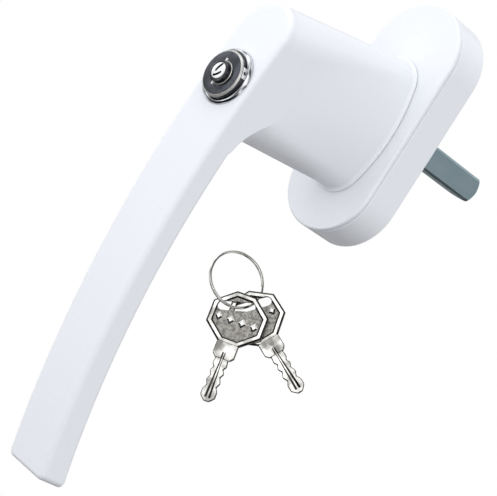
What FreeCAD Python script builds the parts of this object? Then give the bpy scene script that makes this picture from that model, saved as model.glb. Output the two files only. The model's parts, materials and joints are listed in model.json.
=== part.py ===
"""Keyed window lock: a window handle with a push cylinder in its neck, and its two keys on a ring.

All sizes are in millimetres.  The frame is the handle on its window: the origin is on the spindle's
axis in the plane where the rosette meets the sash, +X is to the right, +Y goes into the window and
+Z is up.  The lever hangs down, in the closed position.

Most shapes are easier to state as three distances from the origin: `side` to the right (+X), `out`
towards the room (-Y) and `down` along the hanging lever (-Z).  at() turns them into a point.
"""
import FreeCAD, Part
import math
import os

from FreeCAD import Vector

# ---- driving dimensions -------------------------------------------------------------------------

RUNNING = 0.05                  # radial clearance of a part that turns or slides in another
SNUG = 0.02                     # clearance of a part that is seated in another
TOUCH = 0.1                     # gap kept between faces that pass each other

ROSETTE_LENGTH = 66.0
ROSETTE_WIDTH = 28.4
BASE_FRONT = 10.3               # front face of the rosette's base
BASE_EDGE_RADIUS = 0.6
COVER_BACK = 10.65
COVER_FRONT = 11.7
COVER_EDGE_RADIUS = 0.5
COVER_HOLE_RADIUS = 9.45

SCREW_SPACING = 43.0            # the usual spacing of window handle screws
SCREW_HOLE_RADIUS = 2.65
SCREW_HEAD_RADIUS = 4.8
SCREW_HEAD_DEPTH = 2.6

SPINDLE_WIDTH = 7.0
SPINDLE_REACH = 35.5            # how far the spindle stands out of the back of the rosette
SPINDLE_TOP = 30.0              # where it ends inside the neck
SPINDLE_TIP_RADIUS = 3.3        # the tip is turned to a 45 degree cone down to this radius
SPINDLE_EDGE_CHAMFER = 0.6
SPINDLE_PIN_RADIUS = 1.2
SPINDLE_PIN_OUT = 9.0

RECESS_DEPTH = 4.0              # the pocket in the back of the base, for the index ring
RECESS_RADIUS = 9.6
INDEX_RADIUS = 8.6
INDEX_FLAT = 8.2                # distance from the axis to each of its four flats
INDEX_BACK, INDEX_FRONT = 1.9, 3.6
LEAF_THICKNESS = 0.5
LEAF_HALF_LENGTH = 10.5
LEAF_SAG = 1.2                  # how far each leaf spring bows towards the index ring
LEAF_BACK, LEAF_FRONT = 2.0, 3.5
CLIP_BACK, CLIP_FRONT = 1.0, 1.7
CLIP_GROOVE_RADIUS = 4.25
CLIP_RADIUS = 6.2
CLIP_MOUTH = 0.7                # half a clip's opening, as a share of its inner radius

COLLAR_RADIUS = 9.2             # round collar on the lever's foot that turns in the base
COLLAR_BACK = 6.7
PIN_ORBIT = 7.4                 # distance of the locking bolt's shank from the spindle's axis
PIN_RADIUS = 1.3
PIN_HOLE_RADIUS = 1.5           # of the four holes in the lock plate
LOCK_PLATE_BACK, LOCK_PLATE_FRONT = 5.4, 6.6
BUSH_OUTER = 10.1
WEB_HOLE_RADIUS = 5.3
TAB_REACH = 11.3                # of the lug that stops the lock plate turning
TAB_HALF_WIDTH = 1.5

FOOT_OUT = 11.9                 # face of the neck's foot, just clear of the cover
FOOT_TOP, FOOT_BOTTOM = -17.1, 22.4
FOOT_HALF_WIDTH = 10.1
FOOT_END_RADIUS = 8.1
FOOT_LIP = 0.3                  # thickness of the foot's edge
FOOT_FLARE = 0.9                # radius of the hollow curve from the foot's edge up to the neck
FOOT_FLARE_SECTIONS = 5
HEAD_TOP, NECK_BOTTOM = -8.5, 24.4
CROWN_OUT = 56.0                # the top of the neck slopes straight down from the foot to here
HEAD_HALF_WIDTH = 8.6

LEVER_END = 119.0
LEVER_END_HALF_WIDTH = 7.6
LEVER_END_BACK = 40.0           # about where the back of the lever's end is
FRONT_ARC_RADIUS = 310.0        # the lever's front and back, seen from the side, are two arcs
FRONT_PEAK_OUT, FRONT_PEAK_DOWN = 61.0, 32.0
BACK_ARC_RADIUS = 256.0
BACK_PEAK_OUT, BACK_PEAK_DOWN = 54.3, 35.0
INNER_CORNER_RADIUS = 7.5       # between the underside of the neck and the back of the lever
NECK_STRAIGHT_FROM = BACK_PEAK_OUT - INNER_CORNER_RADIUS    # outwards the neck keeps one section
END_CORNER_RADIUS = 1.8
FRONT_EDGE_RADIUS = 1.3
BACK_EDGE_RADIUS = 1.0

LOCK_DOWN = 13.5                # the cylinder's axis is this far below the spindle's
LOCK_BORE_RADIUS = 6.75
LOCK_BORE_BOTTOM = 34.0
SEAT_OUT = 59.9                 # flat seat for the escutcheon in the head's curved front
ESCUTCHEON_RADIUS = 7.35
ESCUTCHEON_FRONT = 61.5
ESCUTCHEON_SLEEVE_BACK = 58.4
ESCUTCHEON_EDGE_RADIUS = 0.35
BARREL_RADIUS = 6.7
BARREL_NOSE_RADIUS = 6.1
BARREL_SHOULDER_OUT = 58.3
BARREL_BACK = 46.0
CHAMBER_RADIUS = 5.0            # room in the back of the barrel for the latch
CHAMBER_FRONT = 53.9
BARREL_TRAVEL = 2.6
CAP_FRONT = 62.9
CAP_THICKNESS = 0.5
CAP_BEVEL = 0.3
BOSS_RADIUS = 2.85              # the barrel's thin-walled nose round the plug
BOSS_FRONT = 64.2
PLUG_RADIUS = 2.45
PLUG_FRONT = 64.3
PLUG_NOSE_RADIUS = 2.1          # the plug's narrower front, held in by the nose's lip
PLUG_NOSE_BACK = 63.6
PLUG_BACK = 52.3
KEYWAY_HALF_LENGTH = 2.0
KEYWAY_WIDTH = 0.75             # of each half of the S-shaped keyway
KEYWAY_OVERLAP = 0.1            # how far each half reaches past the middle
KEYWAY_DEPTH = 10.6
PLUG_CLIP_OUT = 53.0
PLUG_CLIP_THICKNESS = 0.6
PLUG_CLIP_RADIUS = 3.7
CLIP_SEAT_RADIUS = 2.1
CAM_PIN_RADIUS = 0.6            # the pin behind the plug that moves the latch
CAM_THROW = 1.5
CAM_PLAY = 0.36
YOKE_WALL = 0.8

WAFER_COUNT = 5
WAFER_THICKNESS = 0.6
WAFER_PITCH = 1.6
WAFER_FIRST_OUT = 61.4
WAFER_HALF_WIDTH = 1.5
WAFER_WINDOW_HALF_WIDTH = 1.05
WAFER_WINDOW_HALF_HEIGHT = 1.6

LATCH_BACK, LATCH_FRONT = 48.7, 51.7
LATCH_WIDTH = 2.4
LATCH_THROW = 1.0               # how far the latch stands out of the barrel
LATCH_SPRING_RADIUS = 0.9
LATCH_SPRING_WIRE = 0.12

BOLT_PLATE_THICKNESS = 1.6
BOLT_TIP = 7.0
RETURN_SPRING_RADIUS = 4.0
RETURN_SPRING_WIRE = 0.4

KEY_TURN = 45.0                 # the keys face the room, turned this far to the right
KEY_TILT = 14.55                # and lean back by this much, about a line in their own plane
KEY_TILT_AXIS = 48.1            # that climbs to the right at this angle
KEY_PLACE = (0.5, -21.64, -53.66)   # middle of the key ring
KEY_PLACES = {                  # bow's middle from the ring's, the key's lean, how much nearer, over
    "key_1": ((5.91, -8.63), 11.9, 0.8, False),
    "key_2": ((9.13, -5.85), 64.2, -0.9, True),
}
RING_RADIUS = 7.37              # of the wire's centre line
RING_WIRE_RADIUS = 0.4
RING_LEAN = 31.9                # the ring leans back by this much, so that it threads both keys
RING_LEAN_AXIS = -47.5
BOW_WIDTH, BOW_HEIGHT = 14.75, 13.7
BOW_TOP_FLAT, BOW_SIDE_FLAT = 5.0, 5.6
BOW_RIM = 1.15
KEY_THICKNESS = 1.6
PANEL_THICKNESS = 0.8
SLOT_ENDS = ((-4.9, 2.2), (2.0, 4.1))
SLOT_RADIUS = 1.2
COLLAR_HALF_WIDTH = 2.85
COLLAR_LENGTH = 3.85
COLLAR_CHAMFER = 0.95
BLADE_THICKNESS = 1.2
BLADE_GROOVE_DEPTH = 0.3
BLADE_GROOVE_WIDTH = 1.0
BLADE_GROOVE_END = 20.6         # below the bow's middle
BLADE_STEPS = (                 # how far below the bow's middle, and half the blade's width there
    (10.2, 1.6), (12.2, 1.9), (13.1, 1.3), (14.1, 1.9), (15.2, 1.3), (16.6, 1.9), (17.9, 1.3),
    (18.9, 1.95), (20.6, 1.95), (21.3, 1.3), (21.9, 0.7),
)

# ---- helpers ------------------------------------------------------------------------------------

OUT = Vector(0, -1, 0)


def at(side, out, down):
    """The point at these distances from the origin."""
    return Vector(side, -out, -down)


def rod(radius, low, high, side=0.0, down=0.0):
    """A cylinder along the spindle's direction, from `low` to `high` out from the window."""
    return Part.makeCylinder(radius, high - low, at(side, low, down), OUT)


def tube(outer, inner, low, high, down=0.0):
    """A rod with a round hole through it."""
    return rod(outer, low, high, 0, down).cut(rod(inner, low - 1, high + 1, 0, down))


def block(side_low, side_high, out_low, out_high, down_low, down_high):
    """A box between these distances."""
    corner = Vector(side_low, -out_high, -down_high)
    return Part.makeBox(side_high - side_low, out_high - out_low, down_high - down_low, corner)


def face_of(edges):
    """A flat face inside a closed chain of edges."""
    return Part.Face(Part.Wire(Part.__sortEdges__(edges)))


def line(start, end):
    return Part.LineSegment(start, end).toShape()


def arc(start, middle, end):
    return Part.Arc(start, middle, end).toShape()


def stadium(length, width, low, high, inset=0.0):
    """An upright bar with round ends, the rosette's outline, between two distances out."""
    radius = width / 2 - inset
    straight = (length - width) / 2
    corners = [at(radius, low, -straight), at(-radius, low, -straight),
               at(-radius, low, straight), at(radius, low, straight)]
    edges = [arc(corners[0], at(0, low, -straight - radius), corners[1]),
             line(corners[1], corners[2]),
             arc(corners[2], at(0, low, straight + radius), corners[3]),
             line(corners[3], corners[0])]
    return face_of(edges).extrude(OUT * (high - low))


def edges_where(shape, test):
    """The edges of a shape whose middle point passes a test."""
    found = []
    for edge in shape.Edges:
        middle = edge.valueAt((edge.FirstParameter + edge.LastParameter) / 2)
        if test(edge, middle):
            found.append(edge)
    return found


def coil(radius, wire, length, turns):
    """A helical spring standing on the origin along +Z; `radius` is to the wire's centre line."""
    rise = length - 2 * wire
    helix = Part.makeHelix(rise / turns, rise, radius)
    section = Part.Wire([Part.makeCircle(wire, Vector(radius, 0, 0), Vector(0, 1, 0))])
    spring = Part.Wire(helix.Edges).makePipeShell([section], True, True)
    spring.translate(Vector(0, 0, wire))
    return spring


# ---- the rosette, fixed to the window -----------------------------------------------------------

def base_plate():
    body = stadium(ROSETTE_LENGTH, ROSETTE_WIDTH, 0, BASE_FRONT)
    rim = edges_where(body, lambda edge, middle: abs(-middle.y - BASE_FRONT) < 1e-6)
    body = body.makeFillet(BASE_EDGE_RADIUS, rim)
    body = body.cut(rod(BUSH_OUTER + SNUG, LOCK_PLATE_BACK, BASE_FRONT + 1))
    body = body.cut(rod(WEB_HOLE_RADIUS, -1, BASE_FRONT))
    body = body.cut(rod(RECESS_RADIUS, -1, RECESS_DEPTH))
    body = body.cut(lock_plate_tab(SNUG))
    pocket_side = INDEX_FLAT + LEAF_SAG + LEAF_THICKNESS + TOUCH
    pocket_end = LEAF_HALF_LENGTH + TOUCH
    body = body.cut(block(-pocket_side, pocket_side, -1, RECESS_DEPTH, -pocket_end, pocket_end))
    for angle in range(0, 360, 90):
        side, down = on_orbit(PIN_ORBIT, angle)
        body = body.cut(rod(PIN_HOLE_RADIUS + TOUCH, 0, LOCK_PLATE_FRONT, side, down))
    for end in (-1, 1):
        down = end * SCREW_SPACING / 2
        body = body.cut(rod(SCREW_HOLE_RADIUS, -1, BASE_FRONT + 1, 0, down))
        sink = Part.makeCone(SCREW_HOLE_RADIUS, SCREW_HEAD_RADIUS, SCREW_HEAD_DEPTH,
                             at(0, BASE_FRONT - SCREW_HEAD_DEPTH, down), OUT)
        body = body.cut(sink)
    return body


def on_orbit(radius, angle):
    """A place at this distance round the spindle's axis, 0 being straight down."""
    turn = math.radians(angle)
    return radius * math.sin(turn), radius * math.cos(turn)


def lock_plate_tab(grow=0.0):
    """The lug that stops the lock plate turning, and with `grow` the notch it sits in."""
    half = TAB_HALF_WIDTH + grow
    return block(BUSH_OUTER - 1, TAB_REACH + grow, LOCK_PLATE_BACK - grow, LOCK_PLATE_FRONT + grow,
                 -half, half)


def lock_plate():
    plate = tube(BUSH_OUTER, WEB_HOLE_RADIUS, LOCK_PLATE_BACK, LOCK_PLATE_FRONT)
    plate = plate.fuse(lock_plate_tab()).removeSplitter()
    for angle in range(0, 360, 90):
        side, down = on_orbit(PIN_ORBIT, angle)
        plate = plate.cut(rod(PIN_HOLE_RADIUS, LOCK_PLATE_BACK - 1, LOCK_PLATE_FRONT + 1, side, down))
    return plate


def guide_bush():
    return tube(BUSH_OUTER, COLLAR_RADIUS + RUNNING, LOCK_PLATE_FRONT + SNUG, BASE_FRONT - TOUCH)


def leaf_spring(direction):
    """A bowed strip beside the index ring; `direction` is 1 on the right and -1 on the left."""
    def bow(offset):
        peak = INDEX_FLAT + SNUG + offset
        return (Vector(direction * (peak + LEAF_SAG), -LEAF_BACK, LEAF_HALF_LENGTH),
                Vector(direction * peak, -LEAF_BACK, 0),
                Vector(direction * (peak + LEAF_SAG), -LEAF_BACK, -LEAF_HALF_LENGTH))
    inner, outer = bow(0), bow(LEAF_THICKNESS)
    strip = face_of([arc(*inner), arc(*outer), line(inner[0], outer[0]), line(inner[2], outer[2])])
    return strip.extrude(OUT * (LEAF_FRONT - LEAF_BACK))


def rosette_cover():
    cover = stadium(ROSETTE_LENGTH, ROSETTE_WIDTH, COVER_BACK, COVER_FRONT)
    front = edges_where(cover, lambda edge, middle: abs(-middle.y - COVER_FRONT) < 1e-6)
    cover = cover.makeFillet(COVER_EDGE_RADIUS, front)
    return cover.cut(rod(COVER_HOLE_RADIUS, COVER_BACK - 1, COVER_FRONT + 1))


# ---- the handle ---------------------------------------------------------------------------------

def half_width(down):
    """Half the lever's width, which narrows evenly from the head to the end."""
    share = down / LEVER_END
    return HEAD_HALF_WIDTH + (LEVER_END_HALF_WIDTH - HEAD_HALF_WIDTH) * share


def arc_out(radius, peak_out, peak_down, down):
    """How far out a side profile's arc is, at a place down the lever."""
    return peak_out - radius + math.sqrt(radius ** 2 - (down - peak_down) ** 2)


def front_out(down):
    return arc_out(FRONT_ARC_RADIUS, FRONT_PEAK_OUT, FRONT_PEAK_DOWN, down)


def back_out(down):
    return arc_out(BACK_ARC_RADIUS, BACK_PEAK_OUT, BACK_PEAK_DOWN, down)


def oval(out, top, bottom, half, end_radius):
    """An oval of four tangent arcs, upright, between `top` and `bottom`."""
    middle = (top + bottom) / 2
    reach = (bottom - top) / 2
    flank = ((reach - end_radius) ** 2 + half ** 2 - end_radius ** 2) / (2 * (half - end_radius))
    lean = math.atan2(reach - end_radius, flank - half)
    join_side = flank * math.cos(lean) - (flank - half)
    join_down = flank * math.sin(lean)
    corner = {(i, j): at(i * join_side, out, middle + j * join_down) for i in (-1, 1) for j in (-1, 1)}
    return Part.Wire([
        arc(corner[1, -1], at(0, out, top), corner[-1, -1]),
        arc(corner[-1, -1], at(-half, out, middle), corner[-1, 1]),
        arc(corner[-1, 1], at(0, out, bottom), corner[1, 1]),
        arc(corner[1, 1], at(half, out, middle), corner[1, -1])])


TAPER = math.atan((HEAD_HALF_WIDTH - LEVER_END_HALF_WIDTH) / LEVER_END)


def round_end(tip, towards):
    """Where a round end that touches both tapering sides meets the right-hand one."""
    radius = half_width(tip) * math.cos(TAPER) / (1 + towards * math.sin(TAPER))
    centre = tip + towards * radius
    return radius * math.cos(TAPER), centre + radius * math.sin(TAPER)


def head_outline(out, top=HEAD_TOP):
    """The neck's outline at the head: the lever's own tapering sides, round at both ends."""
    top_side, top_down = round_end(top, 1)
    low_side, low_down = round_end(NECK_BOTTOM, -1)
    top_right, top_left = at(top_side, out, top_down), at(-top_side, out, top_down)
    low_left, low_right = at(-low_side, out, low_down), at(low_side, out, low_down)
    return Part.Wire([arc(top_right, at(0, out, top), top_left), line(top_left, low_left),
                      arc(low_left, at(0, out, NECK_BOTTOM), low_right), line(low_right, top_right)])


def lever_outline(low, high):
    """The whole head and lever from the front: round top, tapering sides, rounded end corners."""
    top_side, top_down = round_end(HEAD_TOP, 1)
    corner = END_CORNER_RADIUS
    side = half_width(LEVER_END - corner)
    cut_in = corner * (1 - math.sqrt(0.5))
    edges = [arc(at(top_side, low, top_down), at(0, low, HEAD_TOP), at(-top_side, low, top_down)),
             line(at(side - corner, low, LEVER_END), at(corner - side, low, LEVER_END))]
    for turn in (-1, 1):
        above, below = at(turn * side, low, LEVER_END - corner), at(turn * (side - corner), low, LEVER_END)
        through = at(turn * (side - cut_in), low, LEVER_END - cut_in)
        edges += [line(at(turn * top_side, low, top_down), above), arc(above, through, below)]
    return face_of(edges).extrude(OUT * (high - low))


def behind_arc(radius, peak_out, peak_down):
    """Everything behind one of the two arcs of the side profile."""
    reach = 2 * HEAD_HALF_WIDTH
    return Part.makeCylinder(radius, 2 * reach, at(-reach, peak_out - radius, peak_down),
                             Vector(1, 0, 0))


def inner_corner():
    """The rounded corner between the underside of the neck and the lever's back."""
    radius = INNER_CORNER_RADIUS
    axis_down = NECK_BOTTOM - round_end(NECK_BOTTOM, -1)[0] / math.cos(TAPER)
    cut_in = radius * (1 - math.sqrt(0.5))
    back, low = NECK_STRAIGHT_FROM + radius, NECK_BOTTOM
    deep = 2.0
    corners = [at(0, back, low + radius), at(0, back + deep, low + radius),
               at(0, back + deep, low - deep), at(0, back - radius, low - deep),
               at(0, back - radius, low)]
    edges = [line(a, b) for a, b in zip(corners, corners[1:])]
    edges.append(arc(corners[-1], at(0, back - cut_in, low + cut_in), corners[0]))
    profile = face_of(edges)
    profile.rotate(at(0, 0, axis_down), OUT, -90)
    return profile.revolve(at(0, 0, axis_down), OUT, 180)


def foot_outline(out, inset=0.0):
    return oval(out, FOOT_TOP + inset, FOOT_BOTTOM - inset, FOOT_HALF_WIDTH - inset,
                FOOT_END_RADIUS - inset)


def foot_and_neck():
    """The foot's thin edge, the hollow curve above it, the neck, and the neck's sloping crown."""
    lip = Part.Face(foot_outline(FOOT_OUT)).extrude(OUT * FOOT_LIP)
    sections = []
    for number in range(FOOT_FLARE_SECTIONS):
        turn = math.pi / 2 * number / (FOOT_FLARE_SECTIONS - 1)
        rise = FOOT_FLARE * (1 - math.cos(turn))
        sections.append(foot_outline(FOOT_OUT + FOOT_LIP + rise, FOOT_FLARE * math.sin(turn)))
    flare = Part.makeLoft(sections, True, False)
    waist_out, waist_top = FOOT_OUT + FOOT_LIP + FOOT_FLARE, FOOT_TOP + FOOT_FLARE
    share = (CROWN_OUT - NECK_STRAIGHT_FROM) / (CROWN_OUT - waist_out)
    upper = head_outline(NECK_STRAIGHT_FROM, HEAD_TOP + (waist_top - HEAD_TOP) * share)
    neck = Part.makeLoft([foot_outline(waist_out, FOOT_FLARE), upper], True, True)
    crown = Part.makeLoft([upper, head_outline(CROWN_OUT)], True, True)
    above = block(-HEAD_HALF_WIDTH * 2, HEAD_HALF_WIDTH * 2, 0, CROWN_OUT, 2 * HEAD_TOP, 0)
    return lip, flare, neck, crown.common(above)


def casting_outside():
    """The handle's outer shape: foot, neck, head and lever."""
    lip, flare, neck, crown = foot_and_neck()
    section = Part.Face(head_outline(NECK_STRAIGHT_FROM))
    straight = section.extrude(OUT * (BACK_PEAK_OUT + 1 - NECK_STRAIGHT_FROM))
    outline = lever_outline(LEVER_END_BACK - 10, FRONT_PEAK_OUT + 1)
    lever = outline.cut(behind_arc(BACK_ARC_RADIUS, BACK_PEAK_OUT, BACK_PEAK_DOWN))
    corner = inner_corner().common(outline)
    outside = lip.fuse([flare, neck, crown, straight, lever, corner]).removeSplitter()
    return outside.common(behind_arc(FRONT_ARC_RADIUS, FRONT_PEAK_OUT, FRONT_PEAK_DOWN))


def lies_on_arc(radius, peak_out, peak_down):
    """A test for edges that lie on one of the two arcs of the side profile."""
    centre_out = peak_out - radius

    def test(edge, middle):
        return abs(math.hypot(-middle.y - centre_out, -middle.z - peak_down) - radius) < 1e-3
    return test


def lever_casting():
    body = casting_outside().Solids[0]
    front = edges_where(body, lies_on_arc(FRONT_ARC_RADIUS, FRONT_PEAK_OUT, FRONT_PEAK_DOWN))
    body = body.makeFillet(FRONT_EDGE_RADIUS, front)
    back = edges_where(body, lies_on_arc(BACK_ARC_RADIUS, BACK_PEAK_OUT, BACK_PEAK_DOWN))
    body = body.makeFillet(BACK_EDGE_RADIUS, back)
    body = body.fuse(rod(COLLAR_RADIUS, COLLAR_BACK, FOOT_OUT + TOUCH)).removeSplitter()
    half = SPINDLE_WIDTH / 2 + SNUG
    ahead = FRONT_PEAK_OUT + 5
    body = body.cut(block(-half, half, COLLAR_BACK - 1, SPINDLE_TOP + TOUCH, -half, half))
    body = body.cut(spindle_pin_shape(SNUG))
    body = body.cut(rod(LOCK_BORE_RADIUS, LOCK_BORE_BOTTOM, ahead, 0, LOCK_DOWN))
    body = body.cut(rod(ESCUTCHEON_RADIUS + SNUG, SEAT_OUT, ahead, 0, LOCK_DOWN))
    body = body.cut(rod(PIN_RADIUS + TOUCH, COLLAR_BACK - 1, SEAT_OUT, 0, PIN_ORBIT))
    latch_side = LATCH_WIDTH / 2 + TOUCH
    latch_reach = LOCK_DOWN + BARREL_RADIUS + LATCH_THROW + 2 * TOUCH
    body = body.cut(block(-latch_side, latch_side, LATCH_BACK - BARREL_TRAVEL - 2 * TOUCH,
                          LATCH_FRONT + 2 * TOUCH, LOCK_DOWN, latch_reach))
    return body


def spindle_pin_shape(grow=0.0):
    """A pin across the collar and the spindle, and with `grow` the hole it sits in."""
    length = 2 * (COLLAR_RADIUS - 2 * TOUCH)
    if grow:
        length = 2 * COLLAR_RADIUS + 1
    return Part.makeCylinder(SPINDLE_PIN_RADIUS + grow, length, at(-length / 2, SPINDLE_PIN_OUT, 0),
                             Vector(1, 0, 0))


def spindle_pin():
    return spindle_pin_shape()


def spindle():
    half = SPINDLE_WIDTH / 2
    bar = block(-half, half, -SPINDLE_REACH, SPINDLE_TOP, -half, half)
    long_edges = edges_where(bar, lambda edge, middle: edge.Length > SPINDLE_REACH)
    bar = bar.makeChamfer(SPINDLE_EDGE_CHAMFER, long_edges)
    cone = Part.makeCone(SPINDLE_TIP_RADIUS, SPINDLE_TIP_RADIUS + SPINDLE_WIDTH, SPINDLE_WIDTH,
                         at(0, -SPINDLE_REACH, 0), OUT)
    turned = cone.fuse(rod(SPINDLE_WIDTH, SPINDLE_WIDTH - SPINDLE_REACH, SPINDLE_TOP))
    bar = bar.common(turned)
    groove = tube(SPINDLE_WIDTH, CLIP_GROOVE_RADIUS, CLIP_BACK - RUNNING, CLIP_FRONT + RUNNING)
    return bar.cut(groove).cut(spindle_pin_shape(SNUG))


def index_ring():
    ring = rod(INDEX_RADIUS, INDEX_BACK, INDEX_FRONT)
    flat, half = INDEX_FLAT, SPINDLE_WIDTH / 2 + SNUG
    ring = ring.common(block(-flat, flat, INDEX_BACK, INDEX_FRONT, -flat, flat))
    return ring.cut(block(-half, half, INDEX_BACK - 1, INDEX_FRONT + 1, -half, half))


def thrust_washer():
    return tube(INDEX_RADIUS - TOUCH, WEB_HOLE_RADIUS, INDEX_FRONT + SNUG, RECESS_DEPTH - RUNNING)


def circlip():
    clip = tube(CLIP_RADIUS, CLIP_GROOVE_RADIUS + SNUG, CLIP_BACK, CLIP_FRONT)
    mouth = CLIP_GROOVE_RADIUS * CLIP_MOUTH
    return clip.cut(block(-mouth, mouth, 0, RECESS_DEPTH, 0, 2 * CLIP_RADIUS))


# ---- the push cylinder --------------------------------------------------------------------------

def lock_escutcheon():
    """The bright ring in the head, with the sleeve that holds the barrel in."""
    bore = BARREL_NOSE_RADIUS + RUNNING
    flange = rod(ESCUTCHEON_RADIUS, SEAT_OUT + SNUG, ESCUTCHEON_FRONT, 0, LOCK_DOWN)
    rim = edges_where(flange, lambda edge, middle: abs(-middle.y - ESCUTCHEON_FRONT) < 1e-6)
    flange = flange.makeFillet(ESCUTCHEON_EDGE_RADIUS, rim)
    sleeve = rod(LOCK_BORE_RADIUS - SNUG, ESCUTCHEON_SLEEVE_BACK, SEAT_OUT + 1, 0, LOCK_DOWN)
    ring = flange.fuse(sleeve).removeSplitter()
    return ring.cut(rod(bore, ESCUTCHEON_SLEEVE_BACK - 1, ESCUTCHEON_FRONT + 1, 0, LOCK_DOWN))


def lock_barrel():
    front = CAP_FRONT - CAP_THICKNESS
    barrel = rod(BARREL_RADIUS, BARREL_BACK, BARREL_SHOULDER_OUT, 0, LOCK_DOWN)
    barrel = barrel.fuse([rod(BARREL_NOSE_RADIUS, BARREL_SHOULDER_OUT - 1, front, 0, LOCK_DOWN),
                          rod(BOSS_RADIUS, front - 1, BOSS_FRONT, 0, LOCK_DOWN)]).removeSplitter()
    barrel = barrel.cut(rod(PLUG_RADIUS + RUNNING, BARREL_BACK - 1, PLUG_NOSE_BACK + RUNNING,
                            0, LOCK_DOWN))
    barrel = barrel.cut(rod(PLUG_NOSE_RADIUS + RUNNING, PLUG_NOSE_BACK, BOSS_FRONT + 1, 0, LOCK_DOWN))
    barrel = barrel.cut(rod(CHAMBER_RADIUS, BARREL_BACK - 1, CHAMBER_FRONT, 0, LOCK_DOWN))
    side = LATCH_WIDTH / 2 + RUNNING
    channel = block(-side, side, BARREL_BACK - 1, LATCH_FRONT + RUNNING, LOCK_DOWN,
                    LOCK_DOWN + BARREL_RADIUS + 1)
    return barrel.cut(channel)


def barrel_cap():
    """The dark disc on the front of the barrel, with a bright bevelled edge."""
    back = CAP_FRONT - CAP_THICKNESS + SNUG
    disc = rod(BARREL_NOSE_RADIUS, back, CAP_FRONT, 0, LOCK_DOWN)
    rim = edges_where(disc, lambda edge, middle: abs(-middle.y - CAP_FRONT) < 1e-6)
    disc = disc.makeChamfer(CAP_BEVEL, rim)
    return disc.cut(rod(BOSS_RADIUS + SNUG, back - 1, CAP_FRONT + 1, 0, LOCK_DOWN))


def lock_plug():
    plug = rod(PLUG_RADIUS, PLUG_BACK, PLUG_NOSE_BACK, 0, LOCK_DOWN)
    plug = plug.fuse(rod(PLUG_NOSE_RADIUS, PLUG_NOSE_BACK - 1, PLUG_FRONT, 0, LOCK_DOWN))
    plug = plug.cut(tube(PLUG_RADIUS + 1, CLIP_SEAT_RADIUS, PLUG_CLIP_OUT - RUNNING,
                         PLUG_CLIP_OUT + PLUG_CLIP_THICKNESS + RUNNING, LOCK_DOWN))
    bottom = PLUG_FRONT - KEYWAY_DEPTH
    for turn in (-1, 1):
        sides = sorted((turn * KEYWAY_OVERLAP, -turn * KEYWAY_WIDTH))
        downs = sorted((turn * KEYWAY_OVERLAP, -turn * KEYWAY_HALF_LENGTH))
        plug = plug.cut(block(sides[0], sides[1], bottom, PLUG_FRONT + 1,
                              LOCK_DOWN + downs[0], LOCK_DOWN + downs[1]))
    for low in wafer_places():
        slot = WAFER_HALF_WIDTH + RUNNING
        plug = plug.cut(block(-slot, slot, low - RUNNING, low + WAFER_THICKNESS + RUNNING,
                              LOCK_DOWN - PLUG_RADIUS - 1, LOCK_DOWN + PLUG_RADIUS + 1))
    cam = rod(CAM_PIN_RADIUS, LATCH_BACK, PLUG_BACK + TOUCH, 0, LOCK_DOWN + CAM_THROW)
    return plug.fuse(cam).removeSplitter()


def wafer_places():
    """How far out the back of each wafer is."""
    return [WAFER_FIRST_OUT - i * WAFER_PITCH for i in range(WAFER_COUNT)]


def wafers():
    plates = []
    for low in wafer_places():
        high = low + WAFER_THICKNESS
        plate = rod(PLUG_RADIUS - RUNNING, low, high, 0, LOCK_DOWN)
        reach = 2 * PLUG_RADIUS
        plate = plate.common(block(-WAFER_HALF_WIDTH, WAFER_HALF_WIDTH, low, high,
                                   LOCK_DOWN - reach, LOCK_DOWN + reach))
        side, tall = WAFER_WINDOW_HALF_WIDTH, WAFER_WINDOW_HALF_HEIGHT
        plate = plate.cut(block(-side, side, low - 1, high + 1, LOCK_DOWN - tall, LOCK_DOWN + tall))
        plates.append(plate)
    return Part.makeCompound(plates)


def plug_clip():
    """The spring clip that keeps the plug in the barrel."""
    high = PLUG_CLIP_OUT + PLUG_CLIP_THICKNESS
    clip = tube(PLUG_CLIP_RADIUS, CLIP_SEAT_RADIUS + SNUG, PLUG_CLIP_OUT, high, LOCK_DOWN)
    mouth = CLIP_SEAT_RADIUS * CLIP_MOUTH
    return clip.cut(block(-mouth, mouth, PLUG_CLIP_OUT - 1, high + 1, LOCK_DOWN - 2 * PLUG_CLIP_RADIUS,
                          LOCK_DOWN))


def yoke_block(grow, deeper=0):
    """The room round the plug's cam pin, larger by `grow` all round."""
    side = CAM_THROW + CAM_PIN_RADIUS + TOUCH + grow
    tall = CAM_PIN_RADIUS + CAM_PLAY + grow
    middle = LOCK_DOWN + CAM_THROW
    return block(-side, side, LATCH_BACK - deeper, LATCH_FRONT + deeper, middle - tall, middle + tall)


def latch():
    """The side latch: a yoke round the plug's cam pin, and a tongue that stands out of the barrel."""
    tongue = block(-LATCH_WIDTH / 2, LATCH_WIDTH / 2, LATCH_BACK, LATCH_FRONT, LOCK_DOWN + CAM_THROW,
                   LOCK_DOWN + BARREL_RADIUS + LATCH_THROW)
    return yoke_block(YOKE_WALL).fuse(tongue).removeSplitter().cut(yoke_block(0, 1))


def latch_spring():
    """A small coil behind the latch, which pushes its tongue out."""
    yoke_low = LOCK_DOWN + CAM_THROW - CAM_PIN_RADIUS - CAM_PLAY - YOKE_WALL
    length = yoke_low - (LOCK_DOWN - CHAMBER_RADIUS) - 4 * TOUCH
    spring = coil(LATCH_SPRING_RADIUS, LATCH_SPRING_WIRE, length, 4)
    spring.translate(at(0, (LATCH_BACK + LATCH_FRONT) / 2, yoke_low - TOUCH))
    return spring


def locking_bolt():
    """The plate behind the barrel and the off-centre shank that reaches the lock plate."""
    front = BARREL_BACK - SNUG
    plate = rod(BARREL_RADIUS, front - BOLT_PLATE_THICKNESS, front, 0, LOCK_DOWN)
    shank = rod(PIN_RADIUS, BOLT_TIP, front, 0, PIN_ORBIT)
    return plate.fuse(shank).removeSplitter()


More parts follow.
